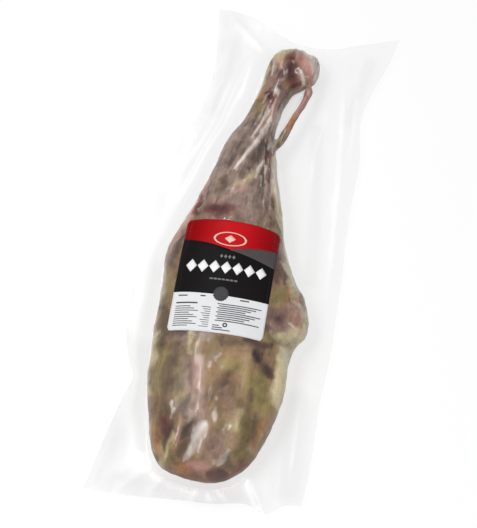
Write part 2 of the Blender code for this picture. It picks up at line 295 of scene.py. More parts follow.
# The skin starts this far inside its outline, so that its relief stays in the film
SKIN_SUNK = 0.7
OFF_FLOOR = 0.35
skin = drawn([v.co[:] for v in leg_mesh.vertices])
facing = np.array([v.normal[:] for v in leg_mesh.vertices])
flat = skin[:, :2]
upper = step(-0.1, 0.5, facing[:, 2])
across = flat[:, 0] - along(MEAT_LINE, flat[:, 1])
gathered = across * (1 + 0.5 * step(40, 200, flat[:, 1]))
strands = np.column_stack((gathered, 0.11 * flat[:, 1], skin[:, 2]))
strand = 0.7 * lumps(strands, 5.5, 51.0) + 0.45 * lumps(strands, 2.7, 57.0)
on_shank = step(-10, 60, flat[:, 1])
detail = 0.8 * lumps(skin, 13, 9.0) + 0.4 * lumps(skin, 5, 17.0) + strand * (0.7 + 1.3 * on_shank) * upper
on_bulge = np.exp(-(((flat - BULGE_MIDDLE) / BULGE_HALF_SIZE) ** 2).sum(1))
detail += on_bulge * (1.8 * lumps(skin, 7, 31.0) + 0.9 * lumps(skin, 3.5, 37.0))
for table, sign in ((RIDGES, 1.0), (GROOVES, -1.0)):
    for path, width, height in table:
        far, where = distance(flat, path)
        ends = step(0.0, 0.18, where) * step(1.0, 0.82, where)
        detail += sign * height * np.exp(-((far / width) ** 1.8)) * (0.25 + 0.75 * ends) * upper
from_label = np.abs(flat - LABEL_MIDDLE)
under_label = step(66, 54, from_label[:, 0]) * step(82, 68, from_label[:, 1]) * upper
detail *= 1 - 0.75 * under_label
skin = skin + facing * (detail - SKIN_SUNK + lumps(skin, 34, 3.0))[:, None]
skin[:, 2] = np.maximum(skin[:, 2], OFF_FLOOR)
leg_mesh.vertices.foreach_set("co", real(skin).astype(np.float32).ravel())
leg_mesh.shade_smooth()
# Painted shade from the relief: the skin's colour is made lighter on raised parts and darker in hollows.
raised = np.clip(0.5 + 0.22 * detail, 0, 1)
mark_points(leg_mesh, "painted_relief_shade", raised)

# Bundles of fine strands: path, half width, strength
STRANDS = (
    (((-2, 152), (0, 110), (6, 66), (16, 24)), 13, 1), (((-22, 196), (-24, 160)), 11, 0.8),
    (((-14, 100), (-20, 76)), 10, 0.6), (((-26, 150), (-44, 100), (-56, 70)), 12, 0.4),
    (((-72, 40), (-78, 0)), 8, 0.7), (((-6, 30), (12, 0)), 16, 0.6),
)
# Where each finish lies on the meat: path, half width, strength. Some strokes are painted light
# rather than the meat's colour: umber and maroon strokes just under the label paint its shadow, and
# pale sinew, cream, rose and mauve strokes paint highlights and glints on the hock's top, the
# bulge's rim and where the film shines over the thigh.
FINISHES = {
    "taupe": (
        (((-30, 130), (-34, 60), (-26, 20)), 42, 1), (((-4, 200), (-10, 150), (-4, 40)), 22, 1),
        (((-12, 226), (-20, 206)), 17, 0.9), (((-64, -164), (-50, -166)), 12, 0.8),
        (((44, -22), (52, -62)), 10, 0.9), (((-86, -24), (-90, -66)), 10, 0.7),
    ),
    "plum": (
        (((-18, 240), (-16, 222), (-6, 216)), 15, 1), (((2, 248), (2, 226)), 8, 0.7),
        (((-12, 216), (-16, 196)), 11, 0.7), (((14, 236), (6, 222)), 8, 0.8),
        (((-26, 246), (-30, 226)), 7, 0.6), (((-40, 46), (-48, 52)), 9, 0.5),
        (((-54, 6), (-26, 8)), 13, 0.8), (((-78, 40), (-76, 2)), 8, 0.4),
        (((46, -121), (63, -114)), 9, 1),
    ),
    "mauve_and_sheen": (
        # Painted sheen: this stroke down the thigh lies where the film shines.
        (((-28, -204), (-26, -222), (-16, -248), (-8, -266)), 13, 0.9),
        (((6, -290), (24, -286)), 16, 0.7), (((-33, -279), (-24, -286)), 6, 0.7),
        (((-50, 60), (-33, 62)), 8, 0.5), (((10, -316), (30, -300)), 12, 0.5),
        (((-28, -258), (-25, -276)), 8, 0.5), (((67, -100), (84, -104)), 8, 0.8),
        (((52, -134), (66, -128)), 8, 0.9), (((-20, 22), (-14, 4)), 9, 0.6),
        (((20, -236), (24, -262)), 10, 0.4), (((-52, -164), (-48, -172)), 7, 0.6),
    ),
    "olive": (
        (((-77, -182), (-74, -208), (-70, -232)), 9, 0.9), (((-64, -190), (-60, -206)), 9, 0.6),
        (((-16, -170), (-14, -186)), 8, 0.6), (((4, -192), (22, -195)), 9, 0.8),
        (((46, -200), (56, -228)), 12, 1), (((64, -170), (70, -214), (67, -240)), 8, 0.6),
        (((14, -262), (34, -264)), 10, 0.6), (((42, -250), (50, -286)), 11, 0.75),
        (((26, -286), (40, -296)), 9, 0.5), (((-40, -300), (-34, -312)), 7, 0.7),
        (((28, -308), (40, -304)), 6, 0.4), (((-38, 226), (-36, 196), (-34, 176)), 5, 0.7),
        (((-40, 168), (-44, 150)), 5, 0.4), (((4, 148), (1, 134)), 4, 0.9),
        (((46, -97), (57, -87)), 11, 1), (((1, 225), (1, 212)), 4, 0.9), (((-18, 66), (-34, 47)), 7, 0.6),
        (((-88, -88), (-88, -132)), 8, 0.7), (((43, -146), (50, -149)), 7, 0.8),
        (((-32, -4), (-14, -6)), 6, 0.5), (((4, 210), (3, 202)), 4, 0.9),
        (((-20, -192), (-8, -226)), 9, 0.3), (((-58, -176), (-54, -200)), 9, 0.4),
        (((-46, -212), (-38, -242)), 8, 0.6), (((4, -246), (10, -266)), 7, 0.4),
    ),
    "umber_and_label_shadow": (
        (((-62, -180), (-57, -224), (-50, -262)), 14, 0.8),
        (((-78, -160), (-76, -200), (-68, -262)), 10, 0.5), (((-90, -96), (-84, -150)), 8, 0.35),
        (((-12, 146), (-15, 118), (-19, 92), (-27, 64)), 10, 0.42), (((-5, 86), (-4, 46)), 5.5, 0.95),
        (((-54, 62), (-52, 16)), 6.5, 0.85), (((-42, 52), (-38, 44)), 6, 0.6),
        (((-17, 238), (-12, 228)), 8, 0.35), (((4, 226), (5, 212)), 4, 0.4),
        # Painted shadow of the label: the strokes round its lower left corner and along y -160 to -172
        # under its lower edge.
        (((-22, 212), (-6, 220)), 8, 0.7), (((-78, -164), (-76, -180)), 8, 0.8),
        (((-86, -128), (-82, -140), (-79, -154), (-74, -166)), 10, 1), (((-88, -32), (-88, -74)), 8, 0.9),
        (((-82, -163), (-44, -163)), 7, 0.9), (((-54, 34), (-40, 36)), 5, 0.6),
        (((36, -36), (42, -74)), 8, 1), (((47, -44), (52, -70)), 5, 0.9),
        (((44, -135), (46, -139)), 7, 0.8), (((-4, -162), (-3, -170)), 7, 0.8),
        (((20, -160), (48, -160)), 8, 1), (((-12, -165), (12, -164), (36, -165)), 5, 0.7),
        (((-42, -160), (-40, -172)), 5, 0.7), (((14, -186), (22, -226)), 12, 0.5),
        (((-22, -232), (-18, -250)), 6, 0.6), (((-32, -240), (-27, -264)), 7, 0.8),
        (((36, -206), (30, -226)), 6, 0.4), (((37, -170), (44, -178)), 7, 1),
        (((55, -186), (62, -192)), 7.5, 1), (((44, -214), (45, -228)), 6, 0.8),
        (((-52, -244), (-48, -256)), 8, 0.6), (((-54, -268), (-46, -284)), 7, 1),
        (((-52, -272), (-38, -280)), 10, 1), (((8, -203), (8, -214)), 8, 0.5),
        (((8, -244), (9, -252)), 8, 0.6), (((-20, -270), (-27, -292)), 5, 0.9),
        (((54, -240), (58, -286)), 8, 0.6), (((25, -295), (38, -304)), 8, 0.8),
        (((12, -318), (33, -314)), 7, 0.9), (((-66, 60), (-62, 90)), 5, 0.4),
        (((-36, 112), (-42, 84)), 2.5, 0.7), (((1, 32), (8, 24)), 7, 0.4), (((18, 6), (26, 2)), 8, 0.7),
        (((-42, 46), (-34, 42)), 8, 0.5), (((-42, -204), (-42, -238)), 6, 0.6),
        (((44, -18), (46, -36)), 7, 0.6),
    ),
    "rose_and_sheen": (
        # Painted sheen: the stroke from (-29, -196) to (-24, -214) lies where the film shines.
        (((-29, -196), (-24, -214)), 7, 0.4), (((8, 264), (26, 252)), 15, 1),
        (((-22, 266), (-20, 250)), 8, 0.8), (((24, 220), (21, 200), (15, 184)), 7, 1),
        (((-8, 182), (-6, 160)), 3.5, 1), (((-79, 56), (-80, 20), (-88, -10)), 8, 1),
        (((4, 108), (9, 76), (15, 50)), 3.5, 0.8), (((80, -104), (82, -132)), 11, 0.7),
        (((-28, -280), (-29, -290)), 5, 0.6), (((74, -232), (72, -252)), 5, 0.6),
        (((-92, -6), (-96, -60)), 5, 0.8), (((-100, -76), (-97, -112), (-92, -128)), 5, 0.6),
        (((12, 240), (18, 228)), 4, 0.7), (((-12, 196), (-14, 170), (-16, 150)), 4, 0.7),
        (((-12, 160), (-22, 150)), 6, 0.5), (((-10, -317), (8, -312)), 7, 0.7),
        (((67, -101), (82, -102)), 7, 0.5), (((26, 236), (28, 222)), 6, 0.8),
        (((-22, 50), (-34, 36), (-56, 18)), 5, 0.6),
    ),
    "cream_fat_and_sheen": (
        (((-103, -80), (-101, -150), (-95, -190), (-90, -226), (-82, -262), (-72, -290)), 8, 1),
        (((-90, -162), (-88, -196)), 7, 0.8), (((67, -142), (71, -156), (73, -190), (73, -216)), 9, 1),
        (((6, 112), (10, 84), (16, 58), (26, 32), (36, -6), (48, -30)), 5.5, 0.9),
        (((50, -28), (60, -60), (66, -80)), 6, 1), (((64, -80), (70, -90)), 5, 1),
        # Painted highlight: the strokes from (57, -143) to (80, -131) and from (66, -150) to (82, -146)
        # lighten the bulge's rim where it faces from the light.
        (((57, -143), (80, -131)), 7, 0.9), (((-27, 263), (-13, 275)), 8, 0.8),
        (((-36, 276), (-38, 236), (-42, 196)), 3.5, 0.7),
        (((29, -172), (33, -200), (30, -224)), 12, 0.25), (((32, -244), (33, -266)), 6, 0.5),
        # Painted highlights: the hock's top from (-28, 272) to (14, 282) stands for light on the film's
        # edge, and the strokes at (-42, -166) and (-37, -284) for glints where the film shines.
        (((-28, 272), (-8, 284), (14, 282)), 11, 0.9), (((-42, -166), (-39, -186)), 4, 0.7),
        (((-54, -300), (-43, -318)), 5, 0.6), (((-37, -284), (-41, -308)), 4, 0.7),
        (((-4, 144), (-3, 130)), 3, 0.5), (((-14, 156), (-14, 150)), 4, 0.4),
        (((64, -264), (58, -282)), 6, 0.5), (((84, -96), (86, -124), (80, -150)), 7, 0.9),
        (((66, -150), (82, -146)), 6, 0.8), (((8, 140), (7, 126)), 3, 0.6),
        (((-14, 72), (-24, 58), (-36, 46)), 7, 0.45),
    ),
    "russet": (
        (((-52, -268), (-46, -288)), 8, 0.8), (((9, -203), (10, -213)), 7, 0.5),
        (((-58, 6), (-46, 6), (-34, 12)), 8, 1), (((36, -36), (42, -74)), 7, 0.55),
        (((12, -318), (33, -314)), 6, 0.6), (((-14, -324), (12, -326), (36, -318), (52, -300)), 7, 0.7),
        (((-1, 118), (0, 96), (4, 66)), 3.2, 0.9), (((2, 262), (0, 254)), 4, 0.5),
        (((-4, 258), (0, 244), (3, 230)), 7, 1), (((-16, 222), (-2, 214)), 8, 0.4),
        (((-77, 30), (-74, 2)), 5, 0.8), (((-22, 204), (-20, 190)), 5, 0.8),
        (((2, 250), (3, 226)), 9, 0.9), (((54, -268), (58, -276)), 6, 0.5),
    ),
    "amber": (
        (((-22, -319), (-10, -322)), 5, 0.65), (((13, 176), (9, 160)), 4.5, 1),
        (((4, 126), (2, 116)), 2.5, 0.3), (((68, -246), (64, -268)), 4, 0.4),
        (((-67, -270), (-60, -292), (-51, -308)), 3, 0.6), (((20, -203), (22, -210)), 5, 0.45),
        (((-28, 206), (-30, 194)), 4.5, 0.7), (((61, -90), (75, -90)), 4, 0.7),
        (((60, -76), (61, -88)), 3, 0.6), (((60, -254), (62, -282)), 6, 0.6),
        (((44, -262), (48, -276)), 4, 0.35),
    ),
    "maroon_and_label_shadow": (
        (((38, -171), (43, -177)), 5.5, 0.75), (((56, -187), (61, -191)), 6, 0.75),
        (((-2, 254), (1, 242), (3, 230)), 6.5, 0.55), (((-5, 112), (-5, 104), (-9, 84)), 2, 0.9),
        # Painted shadow: the stroke from (24, -160) to (46, -160) lies along the label's lower edge.
        (((24, -160), (46, -160)), 4, 0.6), (((-53, -270), (-47, -283)), 6, 0.65),
        (((-15, 245), (-14, 233)), 3, 0.7), (((24, -317), (31, -315)), 5, 0.7),
        (((-56, -274), (-52, -282)), 5, 0.5), (((-25, 202), (-21, 198)), 3.6, 1),
        (((-16, 238), (-13, 230)), 4, 0.2), (((20, 222), (24, 212)), 2, 0.7),
        (((-54, 8), (-40, 9)), 5, 0.8), (((-75, 14), (-76, 2)), 4, 0.5),
    ),
    "sinew_and_glints": (
        # Pale silverskin, and painted glints: the short strokes at (-16, 213), (-8, 243), (67, -123), (62,
        # -137) and (-47, -246), and the long one from (-3, -268) to (-16, -309) where the film shines.
        # Painted highlight also lightens the hock's top from (6, 280) to (32, 240) and the bulge's rim from
        # (66, -144) to (71, -168).
        (((-2, 194), (-4, 162), (-3, 126)), 5, 0.9), (((-14, 166), (-13, 150)), 4, 0.9),
        (((-12, 162), (-16, 140), (-24, 118), (-33, 98), (-41, 74)), 3.7, 1),
        (((-20, 178), (-24, 152), (-31, 126)), 2.6, 0.8), (((-12, 192), (-14, 168), (-15, 148)), 2, 0.5),
        (((-8, 96), (-14, 64)), 2.8, 0.8), (((-14, 154), (-20, 132)), 5, 0.9),
        (((3, 116), (9, 80), (16, 52), (24, 34)), 2.6, 0.9), (((3, 98), (8, 70), (11, 46)), 2.4, 0.9),
        (((-16, 213), (-12, 203)), 4, 0.9), (((-29, 258), (-27, 232)), 3.4, 0.7),
        (((8, 247), (14, 238), (19, 228)), 2.4, 1), (((-8, 243), (-8, 236)), 2, 0.8),
        (((67, -123), (77, -126)), 1.8, 0.9), (((66, -92), (84, -98)), 5, 0.7),
        (((66, -144), (69, -156), (71, -168)), 5, 0.5),
        (((6, 280), (22, 270), (32, 254), (32, 240)), 9, 0.9), (((-18, 272), (-12, 268)), 4, 0.5),
        (((-28, 172), (-31, 150)), 3, 0.7), (((-16, -300), (-19, -312)), 4, 0.7),
        (((62, -137), (70, -134)), 1.8, 0.8), (((-6, -222), (-4, -238)), 4, 0.5),
        (((-3, -268), (-9, -288), (-16, -309)), 7, 0.75), (((-47, -246), (-46, -255)), 2.4, 0.9),
        (((-104, -70), (-101, -96), (-97, -122), (-96, -146)), 5, 0.8),
        (((-5, 148), (-7, 118)), 1.6, 0.9), (((-73, 44), (-70, 6)), 2.4, 0.6),
    ),
}
# How far the strokes wander off their paths, and the share of that for the finishes with a firm edge
WANDER = 9.0
WANDER_SHARE = {"sinew_and_glints": 0.15, "maroon_and_label_shadow": 0.3, "russet": 0.5, "rose_and_sheen": 0.5}
SOFT_WANDER_SHARE = 0.8
gathered = across * (1 + 0.4 * step(40, 200, flat[:, 1]))
fine = lumps(np.column_stack((gathered, 0.07 * flat[:, 1], skin[:, 2])), 3.4, 87.0)
bundled = painted(flat, STRANDS, 1.3, 0.7) * upper
wander = np.column_stack([lumps(skin, 20, s) + 0.35 * lumps(skin, 7, s + 3) for s in (61.0, 71.0)]) * WANDER
for finish, strokes in FINISHES.items():
    spot = flat + wander * WANDER_SHARE.get(finish, SOFT_WANDER_SHARE)
    amount = painted(spot, strokes, 2.0, 0.0, tapered=finish in ("sinew_and_glints", "umber_and_label_shadow"))
    if finish == "sinew_and_glints":
        amount = np.maximum(amount, 0.85 * bundled * step(0.1, 0.45, fine))
    if finish == "umber_and_label_shadow":
        amount = np.maximum(amount, 0.8 * bundled * step(-0.1, -0.45, fine))
    if finish not in ("taupe", "olive", "cream_fat_and_sheen"):
        amount *= step(-0.4, 0.2, facing[:, 2])
    mark_points(leg_mesh, finish, amount)
leg_piece = new_piece("leg_of_lamb", leg_mesh)


def srgb(code):
    """A hex colour as it looks on screen, turned to linear light."""
    parts = [int(code[i:i + 2], 16) / 255 for i in (1, 3, 5)]
    return [c / 12.92 if c <= 0.04045 else ((c + 0.055) / 1.055) ** 2.4 for c in parts] + [1.0]


def add(tree, kind, feeds=None, **settings):
    """One node, its settings, and what feeds its sockets: values or other nodes' outputs."""
    node = tree.nodes.new(kind)
    for key, value in settings.items():
        setattr(node, key, value)
    for socket, value in (feeds or {}).items():
        if isinstance(value, bpy.types.NodeSocket):
            tree.links.new(value, node.inputs[socket])
        else:
            node.inputs[socket].default_value = value
    return node


def new_material(name):
    """An empty material, and its tree of nodes."""
    material = bpy.data.materials.new(name)
    material.use_nodes = True
    material.node_tree.nodes.clear()
    return material, material.node_tree


# Air-dried lamb: tan lean meat with a fibrous grain, silvery skin on the shank, and fat that has
# turned cream, olive and amber. Blots of each run raggedly into the next. Damp under the film.
# Painted light lies in it too: the colour is lighter on raised parts of the skin and darker in
# its hollows, and some strokes paint the label's shadow and highlights where the film shines.
# Its blots are about 24 mm and 7 mm wide, its streaks 7 by 33 mm, its grain 2 by 12 mm and its
# specks 1.6 mm. Real muscle fibres are finer and would not show.
meat, tree = new_material("air_dried_lamb")
place = add(tree, "ShaderNodeTexCoord").outputs["Object"]
broad = add(tree, "ShaderNodeTexNoise", {"Vector": place, "Scale": 42.0, "Detail": 5.0, "Roughness": 0.6})
middling = add(tree, "ShaderNodeTexNoise", {"Vector": place, "Scale": 150.0, "Detail": 5.0,
                                            "Roughness": 0.65})
grain_space = add(tree, "ShaderNodeMapping", {"Vector": place, "Rotation": (0, 0, 0.22),
                                              "Scale": (460, 85, 460)})
grain = add(tree, "ShaderNodeTexNoise", {"Vector": grain_space.outputs[0], "Scale": 1.0, "Detail": 4.0,
                                         "Roughness": 0.6})
streak_space = add(tree, "ShaderNodeMapping", {"Vector": place, "Rotation": (0, 0, 0.28),
                                               "Scale": (150, 30, 150)})
streak = add(tree, "ShaderNodeTexNoise", {"Vector": streak_space.outputs[0], "Scale": 1.0, "Detail": 5.0,
                                          "Roughness": 0.6})
blend = add(tree, "ShaderNodeMath", {0: middling.outputs["Fac"], 1: 0.45, 2: broad.outputs["Fac"]},
            operation="MULTIPLY_ADD")
blend = add(tree, "ShaderNodeMath", {0: grain.outputs["Fac"], 1: 0.5, 2: blend.outputs[0]},
            operation="MULTIPLY_ADD")
# Painted shade: raised parts of the skin are coloured lighter and hollows darker.
painted_relief_shade = add(tree, "ShaderNodeAttribute", attribute_name="painted_relief_shade").outputs["Fac"]
blend = add(tree, "ShaderNodeMath", {0: painted_relief_shade, 1: 0.75, 2: blend.outputs[0]}, operation="MULTIPLY_ADD")
blend = add(tree, "ShaderNodeMapRange", {"Value": blend.outputs[0], "From Min": 1.0, "From Max": 1.7})
speck = add(tree, "ShaderNodeTexNoise", {"Vector": place, "Scale": 620.0, "Detail": 3.0, "Roughness": 0.6})

# Sockets of a Mix node between two colours: the share, the first colour, the second, and the result
SHARE, FIRST, SECOND, MIXED = 0, 6, 7, 2
colour = add(tree, "ShaderNodeMix", {SHARE: blend.outputs[0], FIRST: srgb("#594230"),
                                     SECOND: srgb("#9b7d5a")}, data_type="RGBA").outputs[MIXED]
# Each finish laid over the lean in turn: its dark and light colours, and how ragged its edge is
FINISH_COLOURS = (
    ("taupe", "#5b4a43", "#ab958a", 0.7),
    ("plum", "#482e2c", "#98746c", 0.6),
    ("mauve_and_sheen", "#6e544a", "#b2968a", 0.6),
    ("olive", "#5c5230", "#978752", 0.6),
    ("rose_and_sheen", "#96665c", "#c89a90", 0.5),
    ("umber_and_label_shadow", "#372b23", "#64523f", 0.5),
    ("cream_fat_and_sheen", "#a89a74", "#dccfa8", 0.6),
    ("russet", "#4c201c", "#7c4238", 0.5),
    ("amber", "#8a5428", "#b87c4a", 0.5),
    ("maroon_and_label_shadow", "#2c1110", "#5a2c2a", 0.5),
    ("sinew_and_glints", "#9c8d82", "#e4dad0", 0.7),
)
for finish, dark, light, ragged in FINISH_COLOURS:
    amount = add(tree, "ShaderNodeAttribute", attribute_name=finish).outputs["Fac"]
    noise_at = {"sinew_and_glints": grain, "maroon_and_label_shadow": middling, "amber": broad}.get(finish, streak)
    shift = add(tree, "ShaderNodeMath", {0: noise_at.outputs["Fac"], 1: ragged, 2: -0.5 * ragged},
                operation="MULTIPLY_ADD")
    total = add(tree, "ShaderNodeMath", {0: amount, 1: shift.outputs[0]}, operation="ADD")
    mask = add(tree, "ShaderNodeMapRange", {"Value": total.outputs[0], "From Min": 0.12, "From Max": 0.98,
                                            "To Max": 0.9}, interpolation_type="SMOOTHSTEP")
    shade = add(tree, "ShaderNodeMix", {SHARE: blend.outputs[0], FIRST: srgb(dark), SECOND: srgb(light)},
                data_type="RGBA").outputs[MIXED]
    colour = add(tree, "ShaderNodeMix", {SHARE: mask.outputs["Result"], FIRST: colour, SECOND: shade},
                 data_type="RGBA").outputs[MIXED]
fleck = add(tree, "ShaderNodeMapRange", {"Value": speck.outputs["Fac"], "From Min": 0.35, "From Max": 0.68,
                                         "To Min": 0.9, "To Max": 1.08})
tone = add(tree, "ShaderNodeCombineColor", {0: fleck.outputs[0], 1: fleck.outputs[0], 2: fleck.outputs[0]})
colour = add(tree, "ShaderNodeMix", {SHARE: 1.0, FIRST: colour, SECOND: tone.outputs[0]},
             data_type="RGBA", blend_type="MULTIPLY").outputs[MIXED]
rough = add(tree, "ShaderNodeMapRange", {"Value": middling.outputs["Fac"], "To Min": 0.4, "To Max": 0.75})
relief = add(tree, "ShaderNodeMath", {0: grain.outputs["Fac"], 1: middling.outputs["Fac"]}, operation="ADD")
relief = add(tree, "ShaderNodeMath", {0: speck.outputs["Fac"], 1: 0.4, 2: relief.outputs[0]},
             operation="MULTIPLY_ADD")
bump = add(tree, "ShaderNodeBump", {"Height": relief.outputs[0], "Strength": 0.6, "Distance": 0.0008})
surface = add(tree, "ShaderNodeBsdfPrincipled", {
    "Base Color": colour, "Roughness": rough.outputs["Result"], "Normal": bump.outputs[0],
    "IOR": 1.4, "Specular IOR Level": 0.25, "Subsurface Weight": 0.06, "Subsurface Scale": 0.004})
add(tree, "ShaderNodeOutputMaterial", {"Surface": surface.outputs[0]})
leg_mesh.materials.clear()
leg_mesh.materials.append(meat)
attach(leg_piece, "root")
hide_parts("pouch")

# The pouch. Two sheets of clear polyamide and polythene film, welded along the edges. The pump
# drew the air out, so the film clings to the meat, bridges its hollows and is pressed together
# round it in a thin margin with folds and crisp pleats.
POUCH_SIDES = {
    "left": ((-121, 342), (-112, 285), (-107, 247), (-109, 205), (-114, 165), (-126, 123), (-133, 80),
             (-137, 38), (-136, -10), (-137, -55), (-136, -98), (-131, -145), (-118, -187),
             (-107, -209), (-114, -243), (-121, -292), (-129, -357)),
    "foot": ((-129, -357), (-98, -357), (-60, -354), (-20, -349), (20, -345), (60, -337), (85, -344),
             (104, -330), (124, -326)),
    "right": ((130, 343), (120, 297), (108, 255), (100, 213), (103, 183), (109, 148), (110, 120),
              (110, 90), (111, 60), (113, 20), (117, -20), (119, -62), (121, -100), (122, -132),
              (122, -162), (121, -200), (124, -245), (125, -290), (124, -326)),
    "head": ((-121, 342), (-88, 341), (-56, 330), (-25, 314), (10, 307), (45, 310), (84, 326), (130, 343)),
}
# How far the film reaches to the left and right, and its cells across and along
POUCH_REACH = (-136.9, 130.8)
FILM_CELLS = (124, 324)
# The film's clearance over the meat, the gap between its two sheets, and the skin's depth under it
FILM_GAP = 0.25
FILM_THICK = 0.35
UNDER_FILM = 0.25
# Height of the rim along the sides and at the ends, and how far under the leg's widest line the
# margin leaves it, and how soon it comes down
EDGE_HEIGHT = 11.0
END_HEIGHT = 15.0
UNDER_WIDEST = 4.0
MARGIN_CURVE = 4.5
# Rounds of pulling taut, everywhere and where the film bridges a hollow
TAUT_ROUNDS = 9
BRIDGING_ROUNDS = 60
# The meat is felt for from above the pack and from below it: which side, height of the start. Where
# none is met, this stands for its height.
RAY_STARTS = ((1, 200.0), (-1, -50.0))
NO_MEAT = -1e3
# The lower sheet's least height over the floor
LEAST_HEIGHT = 0.02
# Where the film bridges a hollow of the meat: path, half width
STRETCHED = (
    (((-10, -268), (-16, -286), (-23, -306)), 12), (((-42, -280), (-45, -302)), 5),
    (((-46, -246), (-46, -254)), 4), (((-41, -168), (-39, -188)), 4), (((-27, -198), (-24, -216)), 7),
    (((-18, 214), (-12, 203)), 4),
)
# Where slack film looks a little milky: path, half width, strength
MILKY = (
    (((-124, -340), (-112, -260), (-118, -180)), 26, 0.7),
    (((-110, -345), (-20, -342), (60, -336)), 16, 0.7), (((-100, 330), (-88, 270), (-98, 190)), 16, 0.4),
    (((96, -200), (104, -310)), 16, 0.4), (((46, 180), (66, 60), (80, -40)), 9, 0.35),
    (((96, 300), (84, 200)), 8, 0.3), (((-112, -60), (-108, -150)), 7, 0.3),
)
# Where the film lies a little off the meat and shines less: path, half width
DULLED = (
    (((-50, -176), (-43, -210), (-35, -244)), 9), (((-60, 40), (-40, 20)), 12),
    (((-24, -238), (-30, -264)), 9), (((-84, -126), (-76, -160)), 10), (((12, -190), (24, -206)), 12),
)
# Bunched film, white with small creases, round the leg's rump end
VEILED = ((-54, -320), (-31, -333), (-5, -338), (17, -337), (39, -326))
VEIL_WIDTH = 10.0
# Folds in the margin: path, half width, height
FOLDS = (
    (((62, 300), (80, 200), (92, 100), (102, 0), (106, -70)), 3.0, 2.2),
    (((84, 316), (93, 230), (97, 150), (99, 70)), 2.2, 1.5),
    (((50, 270), (58, 200), (52, 140), (60, 70), (84, 0)), 3.5, 1.8),
    (((-60, 300), (-72, 230), (-84, 160), (-102, 90), (-116, 20)), 3.2, 2.0),
    (((-92, 320), (-92, 240), (-100, 170), (-118, 90)), 2.4, 1.5),
    (((-115, -20), (-116, -90), (-110, -150), (-102, -196)), 3.0, 1.8),
    (((78, -134), (96, -142), (114, -152)), 3.5, 3.0),
    (((98, -180), (103, -240), (108, -310)), 3.2, 2.0),
    (((88, -200), (90, -260), (98, -330)), 2.4, 1.4),
    (((110, -170), (114, -240), (117, -300)), 2.0, 1.2),
    (((4, -326), (2, -340), (-2, -349)), 2.4, 1.8),
    (((14, -326), (18, -336), (26, -344)), 2.0, 1.6),
    (((26, -322), (34, -333), (46, -340)), 2.2, 1.8),
    (((-50, -308), (-66, -326), (-90, -352)), 3.0, 1.8),
    (((-38, -318), (-44, -334), (-54, -352)), 2.4, 1.4),
    (((56, -302), (70, -322), (84, -342)), 4.0, 4.0),
    (((34, 276), (60, 300), (96, 322)), 3.0, 2.0),
    (((-32, 272), (-60, 300), (-100, 330)), 3.0, 2.0),
    (((24, 284), (60, 312), (120, 330)), 1.8, 1.4),
)


def side_points(name, share):
    """Points at shares 0 to 1 of the way along one side of the pouch."""
    p = np.array(POUCH_SIDES[name], float)
    lengths = np.r_[0, np.cumsum(np.linalg.norm(np.diff(p, axis=0), axis=1))]
    lengths /= lengths[-1]
    rows = np.column_stack((lengths, p))
    return np.column_stack((along(rows, share, 1), along(rows, share, 2)))


def film_plan(st):
    """The film laid out flat between the four sides of the pouch."""
    s, t = st[:, :1], st[:, 1:]
    left, right = side_points("left", 1 - st[:, 1]), side_points("right", 1 - st[:, 1])
    foot, head = side_points("foot", st[:, 0]), side_points("head", st[:, 0])
    corner = {name: np.array(side[i], float) for name, side, i in (
        ("a", POUCH_SIDES["foot"], 0), ("b", POUCH_SIDES["foot"], -1),
        ("c", POUCH_SIDES["head"], 0), ("d", POUCH_SIDES["head"], -1))}
    ruled = (1 - s) * left + s * right + (1 - t) * foot + t * head
    return ruled - ((1 - s) * (1 - t) * corner["a"] + s * (1 - t) * corner["b"]
                    + (1 - s) * t * corner["c"] + s * t * corner["d"])


def drawn_tight(film, stop, rounds):
    """A film pulled taut over its stops, which bridges hollows and rounds the inside corners."""
    film = film.copy()
    for _ in range(rounds):
        mean = (film[:-2, 1:-1] + film[2:, 1:-1] + film[1:-1, :-2] + film[1:-1, 2:]) / 4
        film[1:-1, 1:-1] = np.maximum(stop[1:-1, 1:-1], mean)
    return film


wide_cells, down = FILM_CELLS
film = bmesh.new()
bmesh.ops.create_grid(film, x_segments=wide_cells, y_segments=down, size=0.5)
st = points_of(film)[:, :2] + 0.5
plan = film_plan(st)
plan[:, 0] = np.clip(plan[:, 0], *POUCH_REACH)
column = np.rint(st[:, 0] * wide_cells).astype(int)
row = np.rint(st[:, 1] * down).astype(int)
edge_loop = around(LEG_EDGE, np.linspace(0, 1, 400))
rim_loop = np.concatenate([side_points(n, np.linspace(0, 1, 120)) for n in POUCH_SIDES])
from_leg = np.sqrt(((plan[:, None] - edge_loop[None]) ** 2).sum(2))
nearest = from_leg.argmin(1)
from_leg = from_leg.min(1)
to_rim = np.sqrt(((plan[:, None] - rim_loop[None]) ** 2).sum(2)).min(1)
share = from_leg / (from_leg + to_rim + 1e-6)
wide = along(SECTIONS, edge_loop[nearest, 1], 2) - UNDER_WIDEST
end = np.clip(step(-250, -345, plan[:, 1]) + step(290, 335, plan[:, 1]), 0, 1)
rim_height = EDGE_HEIGHT + (END_HEIGHT - EDGE_HEIGHT) * end
